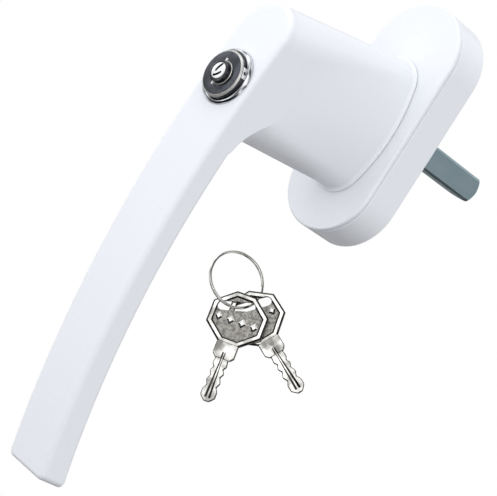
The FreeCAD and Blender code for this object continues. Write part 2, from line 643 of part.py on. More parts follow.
def return_spring():
    """The coil that pushes the barrel out when the latch lets go."""
    high = BARREL_BACK - SNUG - BOLT_PLATE_THICKNESS - TOUCH
    low = LOCK_BORE_BOTTOM + TOUCH
    spring = coil(RETURN_SPRING_RADIUS, RETURN_SPRING_WIRE, high - low, 5)
    spring.rotate(Vector(0, 0, 0), Vector(1, 0, 0), 90)
    spring.translate(at(0, low, LOCK_DOWN))
    return spring


# ---- the keys -----------------------------------------------------------------------------------

def polygon(points, low, high):
    """A flat plate lying in the X-Z plane, between two depths towards the viewer (-Y)."""
    corners = [Vector(across, -low, up) for across, up in points]
    edges = [line(a, b) for a, b in zip(corners, corners[1:] + corners[:1])]
    return face_of(edges).extrude(OUT * (high - low))


def bow_points(inset=0.0):
    """The eight corners of the key's bow, or of the same outline this far inside it."""
    wide, tall = BOW_WIDTH / 2, BOW_HEIGHT / 2
    run, rise = wide - BOW_TOP_FLAT / 2, tall - BOW_SIDE_FLAT / 2
    # A point lies on the cut corner's line where rise * across + run * up is this sum.
    total = rise * wide + run * BOW_SIDE_FLAT / 2 - inset * math.hypot(run, rise)
    wide, tall = wide - inset, tall - inset
    quarter = [(wide, (total - rise * wide) / run), ((total - run * tall) / rise, tall)]
    points = []
    for across, up in ((1, 1), (-1, 1), (-1, -1), (1, -1)):
        ordered = quarter if across * up > 0 else quarter[::-1]
        points += [(across * a, up * b) for a, b in ordered]
    return points


def mirrored(right):
    """A closed outline from its right-hand half, listed from the top down."""
    return right + [(-across, up) for across, up in reversed(right)]


def key_shape():
    """One key: bow in the middle, blade hanging down, its front facing the viewer."""
    thick, panel = KEY_THICKNESS / 2, PANEL_THICKNESS / 2
    key = polygon(bow_points(), -thick, thick)
    for low, high in ((panel, thick + 1), (-thick - 1, -panel)):
        key = key.cut(polygon(bow_points(BOW_RIM), low, high))
    bow_low = -BOW_HEIGHT / 2
    collar_low = bow_low - COLLAR_LENGTH
    collar = mirrored([(COLLAR_HALF_WIDTH, bow_low + BOW_RIM / 2),
                       (COLLAR_HALF_WIDTH, collar_low + COLLAR_CHAMFER),
                       (COLLAR_HALF_WIDTH - COLLAR_CHAMFER, collar_low)])
    blade = mirrored([(half, -below) for below, half in BLADE_STEPS])
    key = key.fuse([polygon(collar, -thick, thick),
                    polygon(blade, -BLADE_THICKNESS / 2, BLADE_THICKNESS / 2)]).removeSplitter()
    groove = mirrored([(BLADE_GROOVE_WIDTH / 2, collar_low),
                       (BLADE_GROOVE_WIDTH / 2, -BLADE_GROOVE_END)])
    floor = BLADE_THICKNESS / 2 - BLADE_GROOVE_DEPTH
    for low, high in ((floor, thick), (-thick, -floor)):
        key = key.cut(polygon(groove, low, high))
    return key.cut(ring_slot(thick + 1))


def ring_slot(reach):
    """The slanting slot in the bow that the ring passes through."""
    (left, low), (right, high) = SLOT_ENDS
    lean = math.atan2(high - low, right - left)
    aside, above = -SLOT_RADIUS * math.sin(lean), SLOT_RADIUS * math.cos(lean)
    middle = polygon([(left + aside, low + above), (right + aside, high + above),
                      (right - aside, high - above), (left - aside, low - above)], -reach, reach)
    ends = [Part.makeCylinder(SLOT_RADIUS, 2 * reach, Vector(x, reach, z), OUT)
            for x, z in SLOT_ENDS]
    return middle.fuse(ends)


def place_keys(shape):
    """Tilt and turn a shape built about the ring's middle, and set it in its place."""
    climb = math.radians(KEY_TILT_AXIS)
    shape.rotate(Vector(0, 0, 0), Vector(math.cos(climb), 0, math.sin(climb)), -KEY_TILT)
    shape.rotate(Vector(0, 0, 0), Vector(0, 0, 1), KEY_TURN)
    shape.translate(Vector(*KEY_PLACE))
    return shape


def key(name):
    (across, up), lean, nearer, turned_over = KEY_PLACES[name]
    shape = key_shape()
    if turned_over:
        shape.rotate(Vector(0, 0, 0), Vector(0, 0, 1), 180)
    shape.rotate(Vector(0, 0, 0), OUT, lean)
    shape.translate(Vector(across, -nearer, up))
    return place_keys(shape)


def key_ring():
    axis, lean = math.radians(RING_LEAN_AXIS), math.radians(RING_LEAN)
    normal = Vector(-math.sin(axis) * math.sin(lean), -math.cos(lean), math.cos(axis) * math.sin(lean))
    return place_keys(Part.makeTorus(RING_RADIUS, RING_WIRE_RADIUS, Vector(0, 0, 0), normal))


# ---- every piece --------------------------------------------------------------------------------

PIECES = {
    "base_plate": base_plate,
    "guide_bush": guide_bush,
    "lock_plate": lock_plate,
    "detent_spring_left": lambda: leaf_spring(-1),
    "detent_spring_right": lambda: leaf_spring(1),
    "rosette_cover": rosette_cover,
    "lever_casting": lever_casting,
    "spindle": spindle,
    "spindle_pin": spindle_pin,
    "index_ring": index_ring,
    "thrust_washer": thrust_washer,
    "circlip": circlip,
    "lock_escutcheon": lock_escutcheon,
    "lock_barrel": lock_barrel,
    "barrel_cap": barrel_cap,
    "locking_bolt": locking_bolt,
    "return_spring": return_spring,
    "lock_plug": lock_plug,
    "wafers": wafers,
    "plug_clip": plug_clip,
    "latch": latch,
    "latch_spring": latch_spring,
    "key_ring": key_ring,
    "key_1": lambda: key("key_1"),
    "key_2": lambda: key("key_2"),
}

os.makedirs("parts", exist_ok=True)
for name, build in PIECES.items():
    piece = build()
    if not piece.isValid():
        raise ValueError(name + " is not a valid shape")
    piece.exportStep("parts/" + name + ".step")
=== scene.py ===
"""The keyed window lock: its looks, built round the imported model.

Blender works in metres; the sizes below are in millimetres and go through MM.  The frame is the
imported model's: the spindle's axis is Y, +Y goes into the window, +Z is up and the lever hangs down.
"""
import json
import math

import bmesh
import bpy
from mathutils import Matrix, Vector


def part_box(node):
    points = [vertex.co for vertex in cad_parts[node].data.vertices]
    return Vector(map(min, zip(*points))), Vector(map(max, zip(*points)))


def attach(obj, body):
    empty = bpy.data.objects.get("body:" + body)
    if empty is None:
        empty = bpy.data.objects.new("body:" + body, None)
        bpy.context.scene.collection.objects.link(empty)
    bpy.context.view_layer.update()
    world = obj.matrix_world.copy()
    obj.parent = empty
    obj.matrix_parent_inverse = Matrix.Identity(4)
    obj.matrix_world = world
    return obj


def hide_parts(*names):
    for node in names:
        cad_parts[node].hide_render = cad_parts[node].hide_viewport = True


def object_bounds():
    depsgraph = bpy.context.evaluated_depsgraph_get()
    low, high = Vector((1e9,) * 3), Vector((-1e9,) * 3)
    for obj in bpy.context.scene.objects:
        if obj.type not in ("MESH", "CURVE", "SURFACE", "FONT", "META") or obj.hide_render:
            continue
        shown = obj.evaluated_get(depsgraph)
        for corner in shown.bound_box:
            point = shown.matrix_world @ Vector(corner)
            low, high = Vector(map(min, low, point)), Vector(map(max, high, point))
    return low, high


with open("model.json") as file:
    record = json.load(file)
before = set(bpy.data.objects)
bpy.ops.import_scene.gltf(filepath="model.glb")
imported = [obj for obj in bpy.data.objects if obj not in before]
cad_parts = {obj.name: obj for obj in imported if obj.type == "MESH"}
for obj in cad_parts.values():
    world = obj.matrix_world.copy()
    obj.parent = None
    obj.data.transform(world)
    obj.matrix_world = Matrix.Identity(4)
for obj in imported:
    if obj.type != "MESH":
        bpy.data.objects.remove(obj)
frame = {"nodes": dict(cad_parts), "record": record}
cad_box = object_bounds()

MM = 0.001

# ---- camera -------------------------------------------------------------------------------------

CAMERA_DISTANCE = 500 * MM
CAMERA_AZIMUTH = math.radians(44.693)
CAMERA_ELEVATION = math.radians(0.535)
CAMERA_ROLL = math.radians(32.494)
CAMERA_RIGHT = -16.657 * MM
CAMERA_UP = -45.479 * MM
LENS = 139.66
SENSOR_WIDTH = 36.0
NEAREST_SEEN = 10 * MM

# ---- studio -------------------------------------------------------------------------------------

FLOOR_RADIUS = 600 * MM
FLOOR_HEIGHT = -2500 * MM        # so far down that the main view doesn't meet it
FLOOR_STEPS = 128
LIGHT_FRONT, LIGHT_RIGHT, LIGHT_UP = 0.38, -0.02, -0.12   # how the soft light changes with direction
LIGHT_LEVEL = 1.19               # the soft light before that change
LIGHT_BELOW = 0.0                # share of it that is left in steep directions from below
LIGHT_FADE = (-0.66, -0.36)      # heights of the directions between which it fades to that share
LIGHT_COLOUR = (0.955, 0.97, 1.0)
PATCH_SCALE = 2.2                # dark patches, seen only in polished metal
PATCH_DETAIL = 1
PATCH_EDGE = (0.44, 0.56)        # values of the noise between which a patch gives way to the light
PATCH_LIGHT = (0.10, 1.25)       # share of the light in a patch, and beside it
PATCHED_COLOUR = (0.97, 0.98, 1.0)
KEY_LIGHT_PLACE = (-0.26, -0.36, 0.60)
KEY_LIGHT_SIZE = 0.35
KEY_LIGHT_POWER = 0.35

# ---- finishes: grain is grains to a metre, bump and fine are heights in millimetres -------------

FINISHES = {
    "white_paint": dict(colour=(0.80, 0.81, 0.835), deeper=(0.79, 0.80, 0.826), metallic=0.0,
                        roughness=0.36, spread=0.04, bump=0.006, fine=0.001),
    "zinc_plate": dict(colour=(0.35, 0.44, 0.48), deeper=(0.28, 0.385, 0.41), metallic=0.9,
                       roughness=0.4, spread=0.07, grain=260, stretch=(1, 0.35, 1), bump=0.02,
                       fine=0.003),
    "spring_steel": dict(colour=(0.42, 0.43, 0.45), deeper=(0.34, 0.35, 0.37), metallic=1.0,
                         roughness=0.3, spread=0.06, grain=500, stretch=(1, 1, 6), bump=0.004),
    "acetal": dict(colour=(0.82, 0.82, 0.80), deeper=(0.79, 0.79, 0.765), metallic=0.0,
                   roughness=0.45, spread=0.05, grain=400, bump=0.006),
    "chrome_trim": dict(colour=(0.66, 0.67, 0.69), deeper=(0.58, 0.59, 0.61), metallic=1.0,
                        roughness=0.14, spread=0.04, grain=700, stretch=(1, 1, 4), bump=0.002),
    "dark_chrome": dict(colour=(0.10, 0.105, 0.12), deeper=(0.075, 0.08, 0.09), metallic=1.0,
                        roughness=0.3, spread=0.05, grain=600, bump=0.003, turned=0.8),
    # black_barrel: painted dark reflection on the barrel's side wall and painted shade round the plug
    "black_barrel": dict(colour=(0.010, 0.010, 0.013), deeper=(0.016, 0.016, 0.021), metallic=0.0,
                         roughness=0.25, spread=0.06, grain=700, bump=0.003, coat=0.3),
    # plug_nickel also colours the painted highlight blocks beside the plug and the painted glint on
    # the barrel
    "plug_nickel": dict(colour=(0.93, 0.93, 0.93), deeper=(0.86, 0.86, 0.86), metallic=0.3,
                        roughness=0.34, spread=0.05, stretch=(1, 1, 5), bump=0.003),
    "brass_parts": dict(colour=(0.72, 0.52, 0.22), deeper=(0.64, 0.45, 0.18), metallic=1.0,
                        roughness=0.28, spread=0.06, grain=500, bump=0.004),
    "ring_nickel": dict(colour=(0.86, 0.84, 0.79), deeper=(0.60, 0.58, 0.54), metallic=1.0,
                        roughness=0.12, spread=0.04, grain=400),
    "key_polish": dict(colour=(0.80, 0.785, 0.74), deeper=(0.20, 0.195, 0.18), metallic=1.0,
                       roughness=0.24, spread=0.08, grain=330, bump=0.05),
    "key_rim": dict(colour=(0.90, 0.885, 0.84), deeper=(0.36, 0.35, 0.32), metallic=1.0,
                    roughness=0.25, spread=0.08, grain=330, bump=0.02),
    # painted highlight: the lit tops and upper sides of the keys' lozenges
    "key_painted_highlight": dict(colour=(0.95, 0.94, 0.90), deeper=(0.80, 0.79, 0.75), metallic=0.6,
                       roughness=0.3, spread=0.05),
    # painted reflection: the pale bevel round the lock's cap
    "bevel_painted_reflection": dict(colour=(0.66, 0.65, 0.61), deeper=(0.48, 0.47, 0.45), metallic=0.6,
                        roughness=0.35, spread=0.05, grain=500, bump=0.003),
    # painted shade and painted dark reflection on the keys' chamfers, slopes and recess walls, and
    # painted shade under the lozenges
    "key_painted_shade_and_reflection": dict(colour=(0.10, 0.097, 0.088), deeper=(0.03, 0.029, 0.026), metallic=1.0,
                     roughness=0.35, spread=0.08, bump=0.01),
    "key_blade": dict(colour=(0.62, 0.61, 0.57), deeper=(0.13, 0.125, 0.11), metallic=1.0,
                      roughness=0.3, spread=0.08, grain=520, bump=0.05, fine=0.003),
    "key_panel": dict(colour=(0.36, 0.345, 0.315), deeper=(0.19, 0.18, 0.165), metallic=0.9,
                      roughness=0.42, spread=0.1, grain=1500, bump=0.06, fine=0.004),
    # painted shade: black on the keyway's walls
    "keyway_painted_shade": dict(colour=(0.02, 0.02, 0.02), deeper=(0.012, 0.012, 0.012), metallic=0.0,
                      roughness=0.6, spread=0.05),
    "floor_paint": dict(colour=(0.60, 0.60, 0.61), deeper=(0.58, 0.58, 0.59), metallic=0.0,
                        roughness=0.7, spread=0.03),
}
GRAIN_DETAIL = 5
GRAIN_COLOUR_RANGE = (0.35, 0.65)      # values of the noise between which the colour changes
GRAIN_ROUGHNESS_RANGE = (0.3, 0.7)     # and the roughness
FINE_OVER_COARSE = 8
COAT_ROUGHNESS = 0.12

# ---- meshes -------------------------------------------------------------------------------------

SHARP_ANGLE = 32                 # edges over this many degrees stay sharp
BEVEL_ANGLE = math.radians(28)   # and edges over this are bevelled
LATHE_STEPS = 128
HALF_CIRCLE_STEPS = 6
BEND_STEPS = 10
CLEAR = 1                        # how far a cutter stands out of what it cuts

# ---- lock front: (radius, distance out from the window), from the inside to the outside ---------

LOCK_DOWN = 13.5
RING_PROFILE = ((6.15, 58.4), (6.73, 58.4), (6.73, 59.92), (7.35, 59.92), (7.35, 60.75),
                (7.27, 61.0), (7.05, 61.32), (6.8, 61.47), (6.5, 61.5), (6.25, 61.42), (6.15, 61.3))
# the barrel: its black is painted dark reflection beside the escutcheon and painted shade round the
# plug
BARREL_PROFILE = ((2.5, 53.9), (6.7, 53.9), (6.7, 58.3), (6.1, 58.3), (6.1, 62.42), (2.95, 62.42),
                  (2.85, 62.9), (2.85, 64.0), (2.79, 64.14), (2.65, 64.2), (2.25, 64.2),
                  (2.15, 64.12), (2.15, 63.65), (2.5, 63.65))
CAP_PROFILE = ((3.0, 62.44), (6.1, 62.44), (6.1, 62.52), (6.05, 62.6), (5.76, 62.86), (5.64, 62.9),
               (3.12, 62.9), (3.05, 62.96), (2.95, 63.0), (2.88, 62.96))
CAP_FACE = 0.97                  # a normal's share along the axis, over which it is the cap's face
PLUG_PROFILE = ((0.0, 52.3), (2.4, 52.3), (2.45, 52.4), (2.45, 63.6), (2.1, 63.6), (2.1, 64.12),
                (2.05, 64.24), (1.93, 64.3), (0.0, 64.3))
KEYWAY_DEPTH = 6.0
KEYWAY_WIDTH = 0.6
KEYWAY_SHADE_FROM = 0.12          # its walls are painted black as shade from this far behind the plug's face
KEYWAY_SHADE_PAST = 0.1           # to this far past its bottom
KEYWAY_STROKES = (               # the S-shaped keyway's two strokes, each from end to end
    ((-0.7, -0.2), (-0.42, 0.7), (0.15, 1.75)),
    ((-0.55, -1.5), (0.3, -0.95), (1.0, -0.15)),
)
HIGHLIGHT_BLOCK_RADIUS = 3.1                 # two small bright blocks beside the plug, above and below it: painted highlights where its edge catches the light
HIGHLIGHT_BLOCK_MIDDLE_OUT = 63.7
HIGHLIGHT_BLOCK_SIZE = (0.32, 0.6, 1.0)
HIGHLIGHT_BLOCK_EDGE = 0.1
GLINT_ANGLE = math.radians(24)     # a bright patch let into the barrel's side: a painted reflection
GLINT_MIDDLE_OUT = 61.7
GLINT_RADII = (5.9, 6.13)
GLINT_HEIGHT, GLINT_HALF_ANGLE = 1.3, math.radians(13)
GLINT_GAP_HEIGHT, GLINT_GAP_HALF_ANGLE = 0.6, math.radians(4)
GLINT_STEPS = 12

# ---- keys ---------------------------------------------------------------------------------------

KEY_TURN = math.radians(45.0)
KEY_TILT = math.radians(14.55)
KEY_TILT_AXIS = math.radians(48.1)
KEY_PLACES = {                   # the bow's middle from the ring's, lean, how much nearer, turned over
    "key_1": ((5.91, -8.63), math.radians(11.9), 0.8, False),
    "key_2": ((9.13, -5.85), math.radians(64.2), -0.9, True),
}
KEY_THICKNESS = 1.6
BOW_WIDTH, BOW_HEIGHT = 14.75, 13.7
BOW_TOP_FLAT, BOW_SIDE_FLAT = 5.0, 5.6
BOW_RIM = 1.15
BOW_EDGE = 0.48                  # the chamfer round the bow
PANEL_THICKNESS = 0.8
PANEL_DRAFT = 0.42               # how far the recess's walls slope in
SLOT_ENDS = ((-4.9, 2.2), (2.0, 4.1))
SLOT_RADIUS = 1.2
SLOT_STEPS = 12
COLLAR_HALF_WIDTH = 2.85
COLLAR_LENGTH = 3.85
COLLAR_CHAMFER = 0.95
COLLAR_INSET = 0.03              # how much thinner it is than the bow, each side
BLADE_THICKNESS = 1.2
BLADE_EDGE = 0.2
BLADE_TOP = -10.6
BLADE_STEPS = (                  # how far below the bow's middle, and half the blade's width there
    (10.2, 1.6), (12.2, 1.9), (13.1, 1.3), (14.1, 1.9), (15.2, 1.3), (16.6, 1.9), (17.9, 1.3),
    (18.9, 1.95), (20.6, 1.95), (21.3, 1.3), (21.9, 0.7),
)
GROOVE_HALF_WIDTH, GROOVE_FLOOR, GROOVE_DEPTH = 0.82, 0.2, 0.42
GROOVE_TOP, GROOVE_BOTTOM = 8.9, 20.9
GROOVE_FLARE = 0.6               # how much the cutter widens, CLEAR above the blade's face
GROOVE_END_WIDTH, GROOVE_END_DEPTH, GROOVE_END_RISE = 0.55, 0.9, 0.2   # the groove runs out at its top
STUD_PLACES = (-4.7, -1.6, 1.5, 4.6)   # raised lozenges in a row across the bow
STUD_UP, STUD_HALF = -0.6, 1.1
STUD_OUTLINE = ((1, 0), (0, 1.15), (-1, 0), (0, -1.15))   # in half widths
STUD_LEVELS = ((1.0, -0.2), (1.0, 0.0), (0.45, 0.3))   # share of its outline, height over the panel
KEY_FINISHES = ("key_polish", "key_painted_shade_and_reflection", "key_panel", "key_blade", "key_rim")
KEY_FLAT = 0.99                  # a normal's share along Y, over which a face lies flat in the key
KEY_SLOPES = (0.3, 0.97)         # and between which it slopes; such faces are painted near black as shade and dark reflection
# a lozenge's face counts as its lit top, painted light, over this share of its normal along Y
STUD_FLAT = 0.9
PANEL_MARGIN = 0.05

RING_RADIUS = 7.37
RING_LEAN = math.radians(31.9)
RING_LEAN_AXIS = math.radians(-47.5)
WIRE_HALF = (0.30, 0.19)         # half the wire's width across the ring, and along the ring's axis
WIRE_ROUNDNESS = 0.7             # 1 gives an ellipse, and less a squarer wire
WIRE_SIDES = 12
WIRE_SHARP_ANGLE = 50
TURN_OFFSET = 0.2                # the ring's two turns lie this far each side of its middle
CROSSING = math.radians(24)      # half the stretch in which the wire goes from one turn to the other
WIRE_END = CROSSING * 1.1        # the wire's ends are this far from the middle of the crossing
RING_STEPS = 360


# ---- camera and studio --------------------------------------------------------------------------

def linked(name, data):
    """A new object in the scene."""
    thing = bpy.data.objects.new(name, data)
    bpy.context.scene.collection.objects.link(thing)
    return thing


def add_camera():
    """The main view: nearly level, at 45 degrees to the window, and rolled."""
    data = bpy.data.cameras.new("camera")
    data.lens = LENS
    data.sensor_width = SENSOR_WIDTH
    data.clip_start = NEAREST_SEEN
    camera = linked("camera", data)
    right = Vector((math.cos(CAMERA_AZIMUTH), math.sin(CAMERA_AZIMUTH), 0))
    level = Vector((math.sin(CAMERA_AZIMUTH), -math.cos(CAMERA_AZIMUTH), 0))
    back = level * math.cos(CAMERA_ELEVATION) + Vector((0, 0, math.sin(CAMERA_ELEVATION)))
    up = back.cross(right)
    place = back * CAMERA_DISTANCE + right * CAMERA_RIGHT + up * CAMERA_UP
    turn = Matrix((right, up, back)).transposed() @ Matrix.Rotation(CAMERA_ROLL, 3, "Z")
    camera.matrix_world = Matrix.Translation(place) @ turn.to_4x4()
    bpy.context.scene.camera = camera


def add_world():
    """White behind the object, and soft light that is strongest in front and fades out below.

    Polished metal sees the same light broken by dark patches, as it does in a furnished studio.
    """
    world = bpy.data.worlds.new("studio")
    bpy.context.scene.world = world
    world.use_nodes = True
    tree = world.node_tree
    tree.nodes.clear()
    direction = tree.nodes.new("ShaderNodeTexCoord").outputs["Generated"]
    path = tree.nodes.new("ShaderNodeLightPath")
    soft = soft_light(tree, direction)
    broken = times(tree, soft, light_between_patches(tree, direction))
    diffuse_light = background(tree, LIGHT_COLOUR, soft)
    glossy_light = background(tree, PATCHED_COLOUR, broken)
    white = background(tree, (1, 1, 1))
    seen = mix_shaders(tree, path.outputs["Is Glossy Ray"], diffuse_light, glossy_light)
    seen = mix_shaders(tree, path.outputs["Is Camera Ray"], seen, white)
    out = tree.nodes.new("ShaderNodeOutputWorld")
    tree.links.new(seen, out.inputs["Surface"])


def soft_light(tree, direction):
    """How strong the soft light is from each direction."""
    new, link = tree.nodes.new, tree.links.new
    slope = new("ShaderNodeVectorMath")
    slope.operation = "DOT_PRODUCT"
    slope.inputs[1].default_value = (LIGHT_RIGHT, -LIGHT_FRONT, LIGHT_UP)
    link(direction, slope.inputs[0])
    level = new("ShaderNodeMath")
    level.inputs[1].default_value = LIGHT_LEVEL
    link(slope.outputs["Value"], level.inputs[0])
    height = new("ShaderNodeSeparateXYZ")
    link(direction, height.inputs[0])
    share = map_range(tree, height.outputs["Z"], LIGHT_FADE, (LIGHT_BELOW, 1.0), "SMOOTHSTEP")
    return times(tree, level.outputs[0], share)


def light_between_patches(tree, direction):
    """The share of the light that the patches let through."""
    patches = tree.nodes.new("ShaderNodeTexNoise")
    patches.inputs["Scale"].default_value = PATCH_SCALE
    patches.inputs["Detail"].default_value = PATCH_DETAIL
    tree.links.new(direction, patches.inputs["Vector"])
    return map_range(tree, patches.outputs["Fac"], PATCH_EDGE, PATCH_LIGHT, "SMOOTHSTEP")


def map_range(tree, value, source, target=(0.0, 1.0), interpolation="LINEAR"):
    """An output that goes through the target range while the value goes through the source range."""
    node = tree.nodes.new("ShaderNodeMapRange")
    node.interpolation_type = interpolation
    for label, number in zip(("From Min", "From Max", "To Min", "To Max"), source + target):
        node.inputs[label].default_value = number
    tree.links.new(value, node.inputs["Value"])
    return node.outputs[0]


def times(tree, one, two):
    """The product of two outputs."""
    node = tree.nodes.new("ShaderNodeMath")
    node.operation = "MULTIPLY"
    tree.links.new(one, node.inputs[0])
    tree.links.new(two, node.inputs[1])
    return node.outputs[0]


def background(tree, colour, strength=None):
    node = tree.nodes.new("ShaderNodeBackground")
    node.inputs["Color"].default_value = (*colour, 1)
    if strength:
        tree.links.new(strength, node.inputs["Strength"])
    return node.outputs[0]


def mix_shaders(tree, share, one, two):
    node = tree.nodes.new("ShaderNodeMixShader")
    tree.links.new(share, node.inputs[0])
    tree.links.new(one, node.inputs[1])
    tree.links.new(two, node.inputs[2])
    return node.outputs[0]


def add_key_light():
    """A soft square light that faces the middle of the object."""
    data = bpy.data.lights.new("key_light", "AREA")
    data.size = KEY_LIGHT_SIZE
    data.energy = KEY_LIGHT_POWER
    light = linked("key_light", data)
    low, high = cad_box
    middle = (Vector(low) + Vector(high)) / 2
    place = Vector(KEY_LIGHT_PLACE)
    light.location = place
    light.rotation_euler = (middle - place).to_track_quat("-Z", "Y").to_euler()


def add_floor(materials):
    """A round pale floor, a long way below the object."""
    mesh = bpy.data.meshes.new("floor")
    bm = bmesh.new()
    bmesh.ops.create_circle(bm, cap_ends=True, segments=FLOOR_STEPS, radius=FLOOR_RADIUS)
    bm.to_mesh(mesh)
    bm.free()
    floor = linked("floor", mesh)
    low, high = cad_box
    floor.location = ((low[0] + high[0]) / 2, (low[1] + high[1]) / 2, FLOOR_HEIGHT)
    mesh.materials.append(materials["floor_paint"])


# ---- materials ----------------------------------------------------------------------------------

def surface(name, colour, deeper, metallic, roughness, spread, grain=900,
            stretch=(1, 1, 1), bump=0.0, fine=0.0, coat=0.0, turned=0.0):
    """A finish whose colour, roughness and height all vary with grain.

    `deeper` is the colour at the other end of the grain, `spread` is how far the roughness varies,
    `stretch` squeezes the grain along an axis, and `turned` is how strong the marks of a lathe are.
    """
    material = bpy.data.materials.new(name)
    material.use_nodes = True
    tree = material.node_tree
    new, link = tree.nodes.new, tree.links.new
    shader = tree.nodes["Principled BSDF"]
    shader.inputs["Metallic"].default_value = metallic
    shader.inputs["Coat Weight"].default_value = coat
    shader.inputs["Coat Roughness"].default_value = COAT_ROUGHNESS
    place = new("ShaderNodeTexCoord")
    scaled = new("ShaderNodeMapping")
    scaled.inputs["Scale"].default_value = stretch
    link(place.outputs["Object"], scaled.inputs["Vector"])
    noise = new("ShaderNodeTexNoise")
    noise.inputs["Scale"].default_value = grain
    noise.inputs["Detail"].default_value = GRAIN_DETAIL
    link(scaled.outputs[0], noise.inputs["Vector"])
    mix = new("ShaderNodeMix")
    mix.data_type = "RGBA"
    mix.inputs["A"].default_value = (*colour, 1)
    mix.inputs["B"].default_value = (*deeper, 1)
    link(map_range(tree, noise.outputs["Fac"], GRAIN_COLOUR_RANGE), mix.inputs["Factor"])
    link(mix.outputs["Result"], shader.inputs["Base Color"])
    rough = (roughness - spread, roughness + spread)
    link(map_range(tree, noise.outputs["Fac"], GRAIN_ROUGHNESS_RANGE, rough),
         shader.inputs["Roughness"])
    if turned:
        lathe_marks(tree, shader, turned)
    if bump:
        relief(tree, scaled, shader, noise, bump, grain, fine)
    return material


def lathe_marks(tree, shader, strength):
    """Stretches a finish's highlights as fine rings about the lock's axis do."""
    shader.inputs["Anisotropic"].default_value = strength
    round_axis = tree.nodes.new("ShaderNodeTangent")
    round_axis.direction_type = "RADIAL"
    round_axis.axis = "Y"
    tree.links.new(round_axis.outputs[0], shader.inputs["Tangent"])


def relief(tree, scaled, shader, noise, bump, grain, fine):
    """Adds the grain's height to a finish, coarse and fine."""
    new, link = tree.nodes.new, tree.links.new
    coarse = new("ShaderNodeBump")
    coarse.inputs["Distance"].default_value = bump * MM
    link(noise.outputs["Fac"], coarse.inputs["Height"])
    last = coarse
    if fine:
        speck = new("ShaderNodeTexNoise")
        speck.inputs["Scale"].default_value = grain * FINE_OVER_COARSE
        link(scaled.outputs[0], speck.inputs["Vector"])
        last = new("ShaderNodeBump")
        last.inputs["Distance"].default_value = fine * MM
        link(speck.outputs["Fac"], last.inputs["Height"])
        link(coarse.outputs[0], last.inputs["Normal"])
    link(last.outputs[0], shader.inputs["Normal"])


# ---- mesh helpers -------------------------------------------------------------------------------

def new_piece(name, mesh, body, nodes):
    """Makes a mesh a piece: on its CAD body, standing for its CAD nodes."""
    piece = linked(name, mesh)
    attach(piece, body)
    if nodes:
        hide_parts(*nodes)


def finish_mesh(mesh, sharp=SHARP_ANGLE):
    """Smooth shading, except over edges sharper than this angle."""
    bm = bmesh.new()
    bm.from_mesh(mesh)
    for face in bm.faces:
        face.smooth = True
    limit = math.radians(sharp)
    for edge in bm.edges:
        edge.smooth = len(edge.link_faces) == 2 and edge.calc_face_angle(0) < limit
    bm.to_mesh(mesh)
    bm.free()


def paint(mesh, materials, names, choose):
    """Gives each face the finish that `choose` names for its middle and normal."""
    mesh.materials.clear()
    for name in names:
        mesh.materials.append(materials[name])
    for face in mesh.polygons:
        face.material_index = names.index(choose(face.center, face.normal))


def scaled_to_metres(mesh, place=Matrix.Identity(4)):
    mesh.transform(Matrix.Diagonal((MM, MM, MM, 1)) @ place)
    return mesh


def to_mesh(bm, name):
    """Closes a bmesh of millimetres off as a mesh, its faces all turned outwards."""
    bmesh.ops.recalc_face_normals(bm, faces=bm.faces)
    mesh = bpy.data.meshes.new(name)
    bm.to_mesh(mesh)
    bm.free()
    return mesh


def lathe(name, profile):
    """A mesh turned about the lock's axis from a closed chain of (radius, out) corners."""
    bm = bmesh.new()
    rings = []
    for radius, out in profile:
        ring = []
        for step in range(LATHE_STEPS if radius else 1):
            angle = 2 * math.pi * step / LATHE_STEPS
            place = (radius * math.cos(angle), -out, radius * math.sin(angle) - LOCK_DOWN)
            ring.append(bm.verts.new(place))
        rings.append(ring)
    pairs = list(zip(rings, rings[1:] + rings[:1]))
    if len(rings[0]) == 1 and len(rings[-1]) == 1:
        pairs.pop()
    for one, two in pairs:
        for step in range(LATHE_STEPS):
            after = (step + 1) % LATHE_STEPS
            corners = [one[step % len(one)], one[after % len(one)], two[after % len(two)],
                       two[step % len(two)]]
            bm.faces.new(list(dict.fromkeys(corners)))
    return to_mesh(bm, name)


def skin(name, sections):
    """A solid through closed sections, each a list of as many places."""
    bm = bmesh.new()
    rings = [[bm.verts.new(place) for place in section] for section in sections]
    bm.faces.new(rings[0])
    bm.faces.new(rings[-1])
    count = len(rings[0])
    for one, two in zip(rings, rings[1:]):
        for i in range(count):
            j = (i + 1) % count
            bm.faces.new((one[i], one[j], two[j], two[i]))
    return to_mesh(bm, name)


def loft(name, levels):
    """A solid through outlines of equal count in the X-Z plane, each at its depth towards -Y."""
    return skin(name, [[(x, -depth, z) for x, z in points] for points, depth in levels])


def prism(name, points, low, high):
    """A plate in the X-Z plane between two depths towards -Y."""
    return loft(name, [(points, low), (points, high)])


def box_mesh(name, middle, size):
    """A small block."""
    bm = bmesh.new()
    bmesh.ops.create_cube(bm, size=1.0)
    bm.transform(Matrix.Translation(middle) @ Matrix.Diagonal((*size, 1)))
    return to_mesh(bm, name)


def applied(holder, tools=()):
    """The mesh that an object's modifiers give; the object and its tools are removed."""
    bpy.context.view_layer.update()
    graph = bpy.context.evaluated_depsgraph_get()
    result = bpy.data.meshes.new_from_object(holder.evaluated_get(graph))
    for thing in (holder, *tools):
        bpy.data.objects.remove(thing)
    return result


def combine(base, others, operation):
    """The mesh of a boolean of millimetre meshes."""
    holder = linked("work", base)
    tools = []
    for mesh in others:
        tool = linked("tool", mesh)
        tools.append(tool)
        step = holder.modifiers.new("step", "BOOLEAN")
        step.operation = operation
        step.solver = "EXACT"
        step.object = tool
    return applied(holder, tools)


